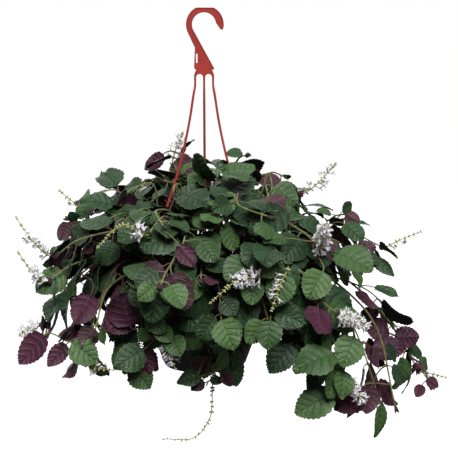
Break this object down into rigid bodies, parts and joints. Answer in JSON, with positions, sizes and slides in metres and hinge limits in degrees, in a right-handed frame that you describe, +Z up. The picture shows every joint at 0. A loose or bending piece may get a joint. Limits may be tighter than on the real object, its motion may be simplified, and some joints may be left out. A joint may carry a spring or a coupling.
{
  "type": "swedish ivy in a hanging pot",
  "caption": "Trailing potted plant with paired scalloped leaves and small white flower spikes, in a round plastic pot that hangs from a moulded hook by thin strands.",
  "frame": {"origin": "highest point of the hook's inner curve, where the pot hangs", "axes": "+Z up, +X to the right seen from the front, +Y to the back; the hook's plate lies across Y"},
  "size_m": [0.7155, 0.5552, 0.7081],
  "materials": {
    "pot": "dark charcoal moulded plastic, faint grain",
    "hanger": "brick-red moulded plastic, satin",
    "soil": "damp crumbly potting soil",
    "leaf": "matt mid-green upper sides with sunken veins, plum-purple undersides, purplish square stems",
    "flower": "white to pale lilac florets on a yellow-green stalk"
  },
  "bodies": {
    "root": {"pot": "pot", "hanger_hook": "hanger", "hanger_strand_back": "hanger", "hanger_strand_left": "hanger", "hanger_strand_right": "hanger", "soil": "soil", "shoot_back_low_1": "leaf", "shoot_back_low_2": "leaf", "shoot_back_middle_1": "leaf", "shoot_back_middle_2": "leaf", "shoot_back_middle_3": "leaf", "shoot_back_upper_1": "leaf", "shoot_back_upper_2": "leaf", "shoot_back_upper_3": "leaf", "shoot_crown_1": "leaf", "shoot_crown_2": "leaf", "shoot_crown_left": "leaf", "shoot_front_arch": "leaf", "shoot_front_drop": "leaf", "shoot_front_drop_right": "leaf", "shoot_front_left": "leaf", "shoot_front_low": "leaf", "shoot_front_pair": "leaf", "shoot_front_upper": "leaf", "shoot_front_upper_left": "leaf", "shoot_left_arch": "leaf", "shoot_left_curl": "leaf", "shoot_left_far": "leaf", "shoot_left_high": "leaf", "shoot_left_low": "leaf", "shoot_left_mid": "leaf", "shoot_long_right": "leaf", "shoot_right_bud": "leaf", "shoot_right_cluster": "leaf", "shoot_right_far": "leaf", "shoot_right_front": "leaf", "shoot_right_hanging": "leaf", "shoot_right_low": "leaf", "shoot_right_mid": "leaf", "shoot_right_purple": "leaf", "shoot_upper_left": "leaf", "shoot_upper_right": "leaf", "spike_crown_left": "flower", "spike_front_arch": "flower", "spike_front_left": "flower", "spike_front_low": "flower", "spike_front_pair": "flower", "spike_left_arch": "flower", "spike_left_far": "flower", "spike_left_high": "flower", "spike_left_low": "flower", "spike_left_mid": "flower", "spike_long_right": "flower", "spike_right_bud": "flower", "spike_right_cluster": "flower", "spike_right_far": "flower", "spike_right_front": "flower", "spike_right_mid": "flower", "spike_upper_left": "flower", "spike_upper_right": "flower"}
  },
  "joints": []
}
